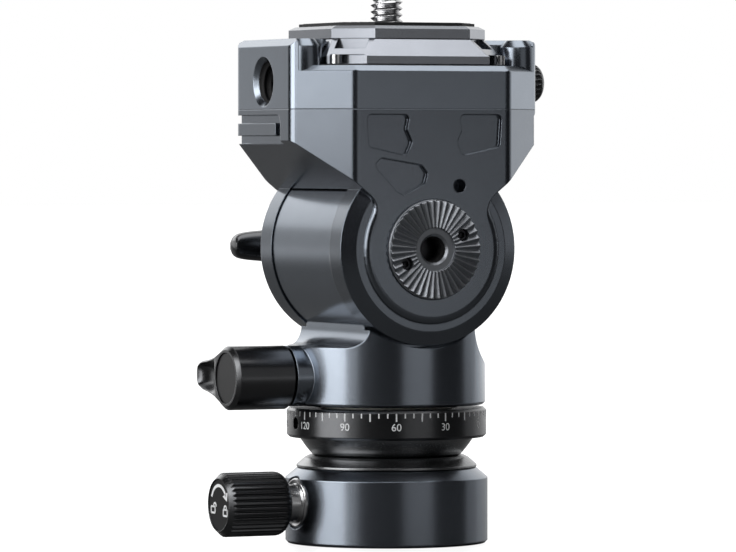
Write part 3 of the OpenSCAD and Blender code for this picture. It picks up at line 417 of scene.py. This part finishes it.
def on_ring(shape, turn, height):
    """Wraps a flat shape round the scale ring; turn is the angle from -Y towards +X."""
    points, faces = shape
    wrapped = []
    for x, y, z in points:
        angle = math.radians(turn) + x / RING_R
        r = RING_R + z
        wrapped.append((r * math.sin(angle), -r * math.cos(angle), height + y))
    return wrapped, faces


def scale_print():
    """Raised ticks and figures round the whole ring."""
    shapes = []
    for degrees in range(0, 360, TICK_EVERY):
        turn = ZERO_AT - degrees
        reach, half = TICK if degrees % LONG_EVERY else LONG_TICK
        tick = slab([(-half, -reach), (half, -reach), (half, 0.0), (-half, 0.0)], TICK_RISE)
        shapes.append(on_ring(tick, turn, RING_TOP))
        if degrees % FIGURE_EVERY == 0:
            shapes.append(on_ring(lettering(str(degrees), FIGURE_SIZE, FIGURE_RISE), turn, FIGURE_Z))
    piece("scale_print", joined(shapes), "level_ball", "polymer", look="white_print")


scale_print()


# Small screws with hexagon sockets

SMALL_SCREW_R, SMALL_SCREW_EDGE = 1.15, 0.15
SOCKET_ACROSS, SOCKET_RIM = 1.1, 0.08
SOCKET_DEPTH, SOCKET_CONE = 0.7 * SOCKET_ACROSS, SOCKET_ACROSS / 5
SET_SCREW_AT, SET_SCREW_L = (-18.8, 0.0, 23.8), 4.7
ROSETTE_SCREW_RING, ROSETTE_SCREW_TURN = 6.6, math.radians(25)
ROSETTE_SCREW_Y, ROSETTE_SCREW_L = -21.5, 4.2


def socket_radius(angle):
    """Radius of the hexagon socket, by angle."""
    return SOCKET_ACROSS / 2 / math.cos((angle + math.pi / 6) % (math.pi / 3) - math.pi / 6)


def socket_screw(length):
    """Screw about Z with its face at height 0 and a hexagon socket in it."""
    return turned([
        (SMALL_SCREW_R, -length), (SMALL_SCREW_R, -SMALL_SCREW_EDGE), (SMALL_SCREW_R - SMALL_SCREW_EDGE, 0.0),
        (lambda angle: socket_radius(angle) + SOCKET_RIM, 0.0), (socket_radius, -SOCKET_RIM),
        (socket_radius, -SOCKET_DEPTH), (0.02, -SOCKET_DEPTH - SOCKET_CONE),
    ], 48)


def socket_screws(name, node, places, direction, length):
    """Screws with sockets in place of a node of plain ones."""
    shapes = [moved(socket_screw(length), facing(place, direction)) for place in places]
    piece(name, joined(shapes), body_of_node[node], "dark_steel", [node])


socket_screws("set_screw", "scale_ring_screw", [SET_SCREW_AT], (-1, 0, 0), SET_SCREW_L)
rosette_places = [
    (
        side * ROSETTE_SCREW_RING * math.cos(ROSETTE_SCREW_TURN),
        ROSETTE_SCREW_Y,
        TILT_Z + side * ROSETTE_SCREW_RING * math.sin(ROSETTE_SCREW_TURN),
    )
    for side in (-1, 1)
]
socket_screws("rosette_sockets", "rosette_screws", rosette_places, (0, -1, 0), ROSETTE_SCREW_L)


# Threads in the holes

THREE_EIGHTHS_PITCH = 25.4 / 16
THREAD_DEPTH, THREAD_SHOWN = 0.62, 0.55  # of the pitch; share of it that stands out of the wall
WALL_GAP, ROOT_GAP, MOUTH = 0.01, 0.03, 0.15


def hole_thread(name, place, direction, hole, pitch, length, body, slot, look=None):
    """Thread inside a hole of a given radius, from its mouth inwards."""
    crest = hole - THREAD_DEPTH * pitch * THREAD_SHOWN
    rings = [(hole - WALL_GAP, 0.0)]
    rings += thread_rings(pitch, crest, hole - ROOT_GAP, -length, -MOUTH)[::-1]
    rings += [(hole - WALL_GAP, -length)]
    up = (0, 0, 1) if direction[2] == 0 else (0, 1, 0)
    piece(name, moved(collar(rings, 72), facing(place, direction, up)), body, slot, sharp=40, look=look)


# The side hole's and the rosette hole's threads take the near-black matte finish: painted shade of the holes'
# insides, not the colour of the thread
hole_thread(
    "side_hole_thread", (-25.7, 0.0, 90.7), (-1, 0, 0),
    hole=4.0, pitch=THREE_EIGHTHS_PITCH, length=5.0, body="tilt", slot="dark_steel", look="end_black_and_hole_shade")
hole_thread(
    "rosette_hole_thread", (0.0, -21.3, TILT_Z), (0, -1, 0),
    hole=2.55, pitch=1.0, length=3.9, body="tilt", slot="dark_steel", look="end_black_and_hole_shade")
hole_thread(
    "tripod_hole_thread", (0.0, 0.0, 0.4), (0, 0, -1),
    hole=4.7625, pitch=THREE_EIGHTHS_PITCH, length=4.1, body="base", slot="steel")


# Level lock: fluted knob with a toothed cone at its end, a disc with an arrow above two padlocks, a
# flanged bush. Heights are distances from the pan axis.

KNOB_Z = 8.2
KNOB_IN, KNOB_OUT, KNOB_R = 22.5, 36.2, 6.3
KNOB_IN_R, KNOB_SHOULDER = 3.9, 2.0
KNOB_CONE, KNOB_LIP_R, KNOB_EDGE = 1.1, 5.3, 0.1
KNOB_FLUTES, FLUTE_DEPTH, FLUTE_ROUND, FLUTE_STEPS = 36, 0.42, 0.8, 10
SHOULDER_STEPS, CONE_STEPS = 6, 10
SEAT_DEPTH = 0.3
DISC_R, DISC_FACE, DISC_T, DISC_EDGE = 4.95, KNOB_OUT - 0.2, 0.55, 0.25

# (radius, height): shank in the housing, flange with a rolled rim, neck up to the knob
BUSH_SECTION = [
    (3.4, 14.6), (4.1, 14.8), (4.1, 19.1),
    (4.9, 19.15), (4.9, 19.5), (4.82, 19.75), (4.65, 19.92), (4.45, 19.95), (4.28, 19.85), (4.2, 19.65),
    (4.1, 19.6), (3.98, 19.7), (3.85, 19.95), (3.7, 20.05), (3.65, 20.2), (3.65, 22.3),
]

PRINT_RISE = 0.04
LOCK_HALF_W, LOCK_HALF_H, LOCK_LINE = 0.95, 0.6, 0.38
SHACKLE_R, SHACKLE_RISE = 0.58, 0.75
OPEN_LOCK, OPEN_SHIFT = (-3.0, -1.0), 0.85
SHUT_LOCK = (2.9, -1.35)
ARROW_R, ARROW_FROM, ARROW_TO, ARROW_LINE = 3.8, 157, 30, 0.6
ARROW_MIDDLE = (-0.2, 0.0)
ARROW_HEAD = [(1.7, 1.75), (3.75, 0.85), (4.05, 2.75)]


def along_knob(shape):
    """Puts a shape built about Z on the knob's axis, with its height as the distance from the pan axis."""
    return moved(shape, facing((0.0, 0.0, KNOB_Z), (-1, 0, 0)))


def knob_limit(height):
    """Largest radius of the knob at a height: a rounded inner end, a cone at the outer one."""
    if height < KNOB_IN + KNOB_SHOULDER:
        drop = (KNOB_IN + KNOB_SHOULDER - height) / KNOB_SHOULDER
        return KNOB_R - KNOB_SHOULDER + KNOB_SHOULDER * math.sqrt(max(0.0, 1 - drop * drop))
    return min(KNOB_R, KNOB_LIP_R + (KNOB_OUT - KNOB_EDGE - height) / KNOB_CONE * (KNOB_R - KNOB_LIP_R))


def knob_shape():
    """Knob whose flutes run out through the cone as teeth, with a seat for the disc."""
    quarter = math.pi / 2 / SHOULDER_STEPS
    heights = [KNOB_IN + KNOB_SHOULDER * (1 - math.cos(quarter * k)) for k in range(SHOULDER_STEPS + 1)]
    cone_start = KNOB_OUT - KNOB_EDGE - KNOB_CONE
    heights += [cone_start + KNOB_CONE * k / CONE_STEPS for k in range(CONE_STEPS + 1)]
    rings = [(KNOB_IN_R, KNOB_IN)]
    for height in heights:
        def radius(angle, height=height):
            groove = max(0.0, math.cos(KNOB_FLUTES * angle)) ** FLUTE_ROUND
            return min(KNOB_R - FLUTE_DEPTH * groove, knob_limit(height))
        rings.append((radius, height))
    seat = KNOB_OUT - SEAT_DEPTH
    rings += [
        (KNOB_LIP_R - 0.08, KNOB_OUT), (KNOB_LIP_R - 0.25, KNOB_OUT), (KNOB_LIP_R - 0.3, seat), (0.5, seat)
    ]
    return along_knob(turned(rings, KNOB_FLUTES * FLUTE_STEPS))


def disc_shape():
    """Disc let into the knob's end."""
    low = DISC_FACE - DISC_T
    rings = [
        (DISC_R - DISC_EDGE, low), (DISC_R, low + DISC_EDGE), (DISC_R, DISC_FACE), (0.4, DISC_FACE)
    ]
    return along_knob(turned(rings, 96))


def padlock(place, shift):
    """Outlines of a padlock drawn in lines; shift moves its shackle aside."""
    x, y = place
    w, h, r, rise = LOCK_HALF_W, LOCK_HALF_H, SHACKLE_R, SHACKLE_RISE
    box = [(-w, -h), (w, -h), (w, h), (-w, h), (-w, -h)]
    shackle = [(-r, h), (-r, rise)] + arc(r, 180, 0, 12, (0.0, rise)) + [(r, h)]
    lines = [ribbon([(x + u, y + v) for u, v in box[i:i + 2]], LOCK_LINE) for i in range(4)]
    lines.append(ribbon([(x + shift + u, y + v) for u, v in shackle], LOCK_LINE))
    return lines


def print_shape():
    """Arrow over an open and a shut padlock, on the disc."""
    outlines = [ribbon(arc(ARROW_R, ARROW_FROM, ARROW_TO, 30, ARROW_MIDDLE), ARROW_LINE), ARROW_HEAD]
    outlines += padlock(OPEN_LOCK, OPEN_SHIFT) + padlock(SHUT_LOCK, 0.0)
    flat = joined([slab(outline, PRINT_RISE) for outline in outlines])
    return along_knob(moved(flat, Matrix.Translation((0.0, 0.0, DISC_FACE))))


bush_shape = along_knob(turned(BUSH_SECTION, 96))
piece("knob_grip", knob_shape(), "level_knob", "black_metal", ["level_knob"], sharp=40)
piece("bush_turned", bush_shape, body_of_node["level_bush"], "steel", ["level_bush"], sharp=40)
piece(
    "knob_disc", disc_shape(), "level_knob", "black_metal", ["level_knob_cap"], sharp=40, look="end_black_and_hole_shade")
piece("knob_print", print_shape(), "level_knob", "polymer", look="white_print")


# Jaw ends: round posts in the scoops of the clamp, bevelled at the top

JAW_END_X, JAW_END_Y, JAW_END_R = 23.05, 11.3, 3.55
JAW_LOW, JAW_TOP = 92.0, 98.97
JAW_BEVEL = 1.35


def jaw_end(x_side, y_side):
    """Upright post whose foot goes below the bevel of the clamp's floor."""
    post = turned([
        (JAW_END_R, JAW_LOW), (JAW_END_R, JAW_TOP - JAW_BEVEL - 0.1),
        (JAW_END_R - 0.06, JAW_TOP - JAW_BEVEL), (JAW_END_R - JAW_BEVEL, JAW_TOP),
    ], 96)
    return moved(post, facing((x_side * JAW_END_X, y_side * JAW_END_Y, 0.0), (0, 0, 1), (0, 1, 0)))


piece("jaw_ends", joined([jaw_end(x, y) for x in (-1, 1) for y in (-1, 1)]), "tilt", "body_metal")


# Lock levers: a round grip whose end runs out into a tail with a thumb hollow

LEVER_L, LEVER_R, LEVER_BEVEL = 12.6, 6.25, 0.6
CAP_SEAT_R, CAP_SEAT_DEPTH = 4.95, 0.45
PAN_LEVER_AT, TILT_LEVER_AT = (-22.1, 0.0, 32.9), (0.0, 21.6, TILT_Z)

# (radius, height) from the inner end to the seat of the cap
GRIP_SECTION = [
    (LEVER_R - 0.5, 0.0), (LEVER_R, 0.4), (LEVER_R, LEVER_L - LEVER_BEVEL - 0.15),
    (LEVER_R - 0.12, LEVER_L - LEVER_BEVEL), (LEVER_R - 0.12 - LEVER_BEVEL, LEVER_L),
    (CAP_SEAT_R + 0.03, LEVER_L), (CAP_SEAT_R, LEVER_L - CAP_SEAT_DEPTH), (0.4, LEVER_L - CAP_SEAT_DEPTH),
]

# By distance from the lever's axis: half width of the tail, height of its outer and of its inner face.
# The tail starts at the second point; the first only sets the slope there.
TAIL_HALF = [
    (-3.0, 6.2), (1.0, 6.15), (4.8, 4.8), (7.6, 3.85), (12.0, 3.2), (16.0, 2.85), (18.4, 2.4), (19.4, 1.75),
    (19.8, 1.0),
]
TAIL_OUTER = [(-3.0, 12.0), (1.0, 12.1), (6.0, 12.1), (9.0, 11.8), (14.0, 11.0), (19.8, 10.2)]
TAIL_INNER = [(-3.0, 4.2), (1.0, 4.2), (6.0, 4.8), (12.0, 5.8), (19.8, 6.8)]
TAIL_FROM, TAIL_RUN, TAIL_SECTIONS = 1.0, 17.4, 28
TAIL_TIP = [18.8, 19.2, 19.5, 19.7, 19.8]
TAIL_EDGE, TAIL_STEPS = 0.35, 16
BULGE_MOST, BULGE_SHARE = 3.0, 0.9  # rounding of the inner face, in mm and of the half width
HOLLOW_FROM, HOLLOW_RUN, HOLLOW_DEPTH, HOLLOW_SWELL = 7.0, 12.2, 2.0, 0.6


def along_curve(points, at):
    """Value of a smooth curve through (position, value) points."""
    last = len(points) - 1
    k = max(i for i in range(last) if points[i][0] <= at or i == 0)
    x0, y0 = points[k]
    x1, y1 = points[k + 1]

    def slope(i):
        low, high = points[max(i - 1, 0)], points[min(i + 1, last)]
        return (high[1] - low[1]) / (high[0] - low[0])

    span = x1 - x0
    f = min(1.0, max(0.0, (at - x0) / span))
    return (y0 * (1 + 2 * f) * (1 - f) ** 2 + slope(k) * span * f * (1 - f) ** 2
            + y1 * f * f * (3 - 2 * f) + slope(k + 1) * span * f * f * (f - 1))


def tail_section(at):
    """Loop of (sideways, height) points across the tail, with the hollow in its outer face."""
    half = along_curve(TAIL_HALF, at)
    outer = along_curve(TAIL_OUTER, at)
    inner = along_curve(TAIL_INNER, at)
    share = min(1.0, max(0.0, (at - HOLLOW_FROM) / HOLLOW_RUN))
    depth = HOLLOW_DEPTH * max(0.0, math.sin(math.pi * share)) ** HOLLOW_SWELL
    bulge = min(BULGE_MOST, BULGE_SHARE * half)
    loop = [(-half, outer - TAIL_EDGE)]
    for k in range(TAIL_STEPS + 1):
        across = 2 * k / TAIL_STEPS - 1
        loop.append(((half - TAIL_EDGE) * across, outer - depth * (1 - across ** 4)))
    loop.append((half, outer - TAIL_EDGE))
    for k in range(TAIL_STEPS + 1):
        turn = math.pi * k / TAIL_STEPS
        loop.append((half * math.cos(turn), inner + bulge * (1 - math.sin(turn))))
    return loop


def lever_shape(side):
    """Lever about Z, with its tail towards +X or -X."""
    stations = [TAIL_FROM + TAIL_RUN * k / TAIL_SECTIONS for k in range(TAIL_SECTIONS + 1)] + TAIL_TIP
    points = []
    for at in stations:
        points += [(side * at, across, height) for across, height in tail_section(at)]
    rows = len(stations)
    count = len(points) // rows
    # The order of the end faces' corners decides how the tip is split into triangles, and so its shading
    ends = [face[::-1] for face in end_faces(rows, count)]
    return joined([turned(GRIP_SECTION, 96), (points, skin(rows, count) + ends)])


pan_lever = moved(lever_shape(-1), facing(PAN_LEVER_AT, (-1, 0, 0)))
tilt_lever = moved(lever_shape(1), facing(TILT_LEVER_AT, (0, 1, 0)))
piece("pan_lever_grip", pan_lever, "pan_lever", "black_metal", ["pan_lever"], sharp=35)
piece("tilt_lever_grip", tilt_lever, "tilt_lever", "black_metal", ["tilt_lever"], sharp=35)


# Rubber pad: low ribs across its top

RIB_PITCH, RIB_HALF, RIB_RISE, RIB_MARGIN = 1.3, 0.36, 0.12, 0.7
RIB_CREST, RIB_SINK, RIB_SLOPE, RIB_SHORTEST = 0.55 * RIB_HALF, 0.05, 0.2, 1.0
RIB_SECTION = [
    (-RIB_HALF, -RIB_SINK), (RIB_HALF, -RIB_SINK), (RIB_HALF, RIB_RISE * 0.5), (RIB_CREST, RIB_RISE),
    (-RIB_CREST, RIB_RISE), (-RIB_HALF, RIB_RISE * 0.5),
]
PROBE_STEP = 0.1
PROBE_FROM, PROBE_REACH, FLAT_WITHIN = 0.01, 0.011, 0.00005  # metres


def pad_runs(tree, low, high, y):
    """Stretches along X, as lists of positions, where the pad's flat top carries a rib at y."""
    def covered(x, across):
        above = Vector((x * MM, across * MM, high.z + PROBE_FROM))
        place = tree.ray_cast(above, Vector((0, 0, -1)), PROBE_REACH)[0]
        return place is not None and abs(place.z - high.z) < FLAT_WITHIN

    runs, run = [], []
    for i in range(int((high.x - low.x) / MM / PROBE_STEP) + 1):
        x = low.x / MM + i * PROBE_STEP
        if all(covered(x, y + d) for d in (-RIB_HALF, 0, RIB_HALF)):
            run.append(x)
        elif run:
            runs.append(run)
            run = []
    return runs + [run] if run else runs


def rib(start, end, y, top):
    """One rib along X, with sloped ends."""
    points = [(start + (RIB_SLOPE if z == RIB_RISE else 0), y + d, top + z) for d, z in RIB_SECTION]
    points += [(end - (RIB_SLOPE if z == RIB_RISE else 0), y + d, top + z) for d, z in RIB_SECTION]
    count = len(RIB_SECTION)
    return points, skin(2, count) + end_faces(2, count)


def pad_ribs():
    """Ribs over the pad, clear of its edge and of the camera screw's hole."""
    pad = nodes["plate_pad"].data
    tree = BVHTree.FromPolygons([v.co for v in pad.vertices], [p.vertices for p in pad.polygons])
    low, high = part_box("plate_pad")
    count = int((high.y - low.y) / MM / 2 / RIB_PITCH)
    shapes = []
    for k in range(-count, count + 1):
        y = k * RIB_PITCH
        if abs(y) + RIB_HALF + RIB_MARGIN > high.y / MM:
            continue
        for run in pad_runs(tree, low, high, y):
            start, end = run[0] + RIB_MARGIN, run[-1] - RIB_MARGIN
            if end - start >= RIB_SHORTEST:
                shapes.append(rib(start, end, y, high.z / MM))
    piece("pad_ribs", joined(shapes), "plate", "pad_rubber")


pad_ribs()


# Studio: pale floor, pale surround, panels of soft light. Lengths are in metres.

MIDDLE = 0.06  # height on the pan axis that most panels face

# Turn in degrees from -Y towards +X, distance from the pan axis and height of the panel, its own width
# and height, glow of its surface, height that it faces
PANELS = {
    "key_panel": (-91, 0.8, 0.33, 0.62, 0.80, 4.3, MIDDLE),
    "key_edge_panel": (-64, 0.9, 0.33, 0.20, 0.80, 1.1, MIDDLE),
    "front_low_panel": (11, 0.9, 0.03, 0.56, 0.085, 0.75, 0.03),
    "front_panel": (18, 0.9, 0.36, 0.54, 0.58, 0.24, MIDDLE),
    "right_panel": (92, 0.9, 0.30, 0.52, 0.70, 0.55, MIDDLE),
    "back_panel": (-172, 0.9, 0.42, 0.70, 0.42, 0.8, MIDDLE),
    "top_panel": (90, 0.10, 0.85, 0.90, 0.64, 2.2, MIDDLE),
    "upper_panel": (-30, 0.55, 0.60, 0.60, 0.16, 1.6, MIDDLE),
    "near_left_panel": (-54, 0.25, 0.19, 0.08, 0.25, 1.8, 0.19),
    "near_right_panel": (104, 0.25, 0.19, 0.08, 0.25, 0.2, 0.19),
}

ROOM = (0.03, 0.031, 0.033)
WHITE = (1.0, 1.0, 1.0)
BEHIND_FROM, BEHIND_FULL = 0.45, 0.8  # cosines about the direction of view

FLOOR_DARK, FLOOR_LIGHT, FLOOR_CLOUD = (0.09, 0.09, 0.09), (0.11, 0.11, 0.11), 3.0
FLOOR_ROUGH, FLOOR_SHINE, FLOOR_GLOW = 0.2, 0.05, 0.9
FLOOR_HALF, FLOOR_CLEAR = 6.0, 0.3


def panel(name, turn, reach, height, width, tall, glow, aim):
    """Soft light panel turned to a point on the pan axis."""
    data = bpy.data.lights.new(name, "AREA")
    data.shape = "RECTANGLE"
    data.size = width
    data.size_y = tall
    data.energy = glow * math.pi * width * tall
    light = bpy.data.objects.new(name, data)
    bpy.context.scene.collection.objects.link(light)
    angle = math.radians(turn)
    light.location = (math.sin(angle) * reach, -math.cos(angle) * reach, height)
    light.rotation_euler = (Vector((0.0, 0.0, aim)) - light.location).to_track_quat("-Z", "Y").to_euler()
    light.visible_camera = False


def smooth_step(tree, value, low, high):
    """0 below low, 1 above high, and a smooth rise between them."""
    node = tree.nodes.new("ShaderNodeMapRange")
    node.interpolation_type = "SMOOTHSTEP"
    node.inputs["From Min"].default_value = low
    node.inputs["From Max"].default_value = high
    tree.links.new(value, node.inputs["Value"])
    return node.outputs["Result"]


def combined(tree, operation, first, second):
    """Two values put together by a math node."""
    node = tree.nodes.new("ShaderNodeMath")
    node.operation = operation
    tree.links.new(first, node.inputs[0])
    tree.links.new(second, node.inputs[1])
    return node.outputs["Value"]


def background_seen(tree, clear_of=0.0):
    """1 for what the camera sees, what shines through, and what metal mirrors from behind the object.

    Mirrored, it fades in from clear_of to three times that distance, so that the near floor stays dark.
    """
    path = tree.nodes.new("ShaderNodeLightPath")
    place = tree.nodes.new("ShaderNodeNewGeometry")
    toward = tree.nodes.new("ShaderNodeVectorMath")
    toward.operation = "NORMALIZE"
    tree.links.new(place.outputs["Position"], toward.inputs[0])
    back = tree.nodes.new("ShaderNodeVectorMath")
    back.operation = "DOT_PRODUCT"
    back.inputs[1].default_value = (math.sin(VIEW_TURN), math.cos(VIEW_TURN), 0.0)
    tree.links.new(toward.outputs["Vector"], back.inputs[0])
    behind = smooth_step(tree, back.outputs["Value"], BEHIND_FROM, BEHIND_FULL)
    if clear_of:
        away = tree.nodes.new("ShaderNodeVectorMath")
        away.operation = "LENGTH"
        tree.links.new(place.outputs["Position"], away.inputs[0])
        far = smooth_step(tree, away.outputs["Value"], clear_of, 3 * clear_of)
        behind = combined(tree, "MULTIPLY", behind, far)
    mirrored = combined(tree, "MULTIPLY", path.outputs["Is Glossy Ray"], behind)
    seen = combined(tree, "MAXIMUM", path.outputs["Is Camera Ray"], mirrored)
    return combined(tree, "MAXIMUM", seen, path.outputs["Is Transmission Ray"])


def make_world():
    """White where the camera looks past the object, and in what shines behind it; a dim room in front."""
    world = bpy.data.worlds.new("studio")
    bpy.context.scene.world = world
    world.use_nodes = True
    tree = world.node_tree
    tree.nodes.clear()
    out = tree.nodes.new("ShaderNodeOutputWorld")
    room = tree.nodes.new("ShaderNodeBackground")
    room.inputs["Color"].default_value = (*ROOM, 1.0)
    white = tree.nodes.new("ShaderNodeBackground")
    white.inputs["Color"].default_value = (*WHITE, 1.0)
    mix = tree.nodes.new("ShaderNodeMixShader")
    tree.links.new(background_seen(tree), mix.inputs["Fac"])
    tree.links.new(room.outputs["Background"], mix.inputs[1])
    tree.links.new(white.outputs["Background"], mix.inputs[2])
    tree.links.new(mix.outputs["Shader"], out.inputs["Surface"])


def make_floor():
    """Floor that keeps the object's shadow and is topped up to white where it is background."""
    material, tree, shader = new_material("pale_floor")
    cloud = object_noise(tree, FLOOR_CLOUD)
    tree.links.new(blend_colours(tree, cloud, FLOOR_DARK, FLOOR_LIGHT), shader.inputs["Base Color"])
    shader.inputs["Roughness"].default_value = FLOOR_ROUGH
    shader.inputs["Specular IOR Level"].default_value = FLOOR_SHINE
    shader.inputs["Emission Color"].default_value = (*WHITE, 1.0)
    glow = ramp(tree, background_seen(tree, FLOOR_CLEAR), 0.0, FLOOR_GLOW)
    tree.links.new(glow, shader.inputs["Emission Strength"])
    half = FLOOR_HALF
    mesh = bpy.data.meshes.new("floor")
    mesh.from_pydata(
        [(-half, -half, 0.0), (half, -half, 0.0), (half, half, 0.0), (-half, half, 0.0)], [], [(0, 1, 2, 3)]
    )
    mesh.materials.append(material)
    floor = bpy.data.objects.new("floor", mesh)
    bpy.context.scene.collection.objects.link(floor)


for name, values in PANELS.items():
    panel(name, *values)
make_world()
make_floor()
bpy.context.scene.view_settings.view_transform = "Standard"

bpy.context.view_layer.update()
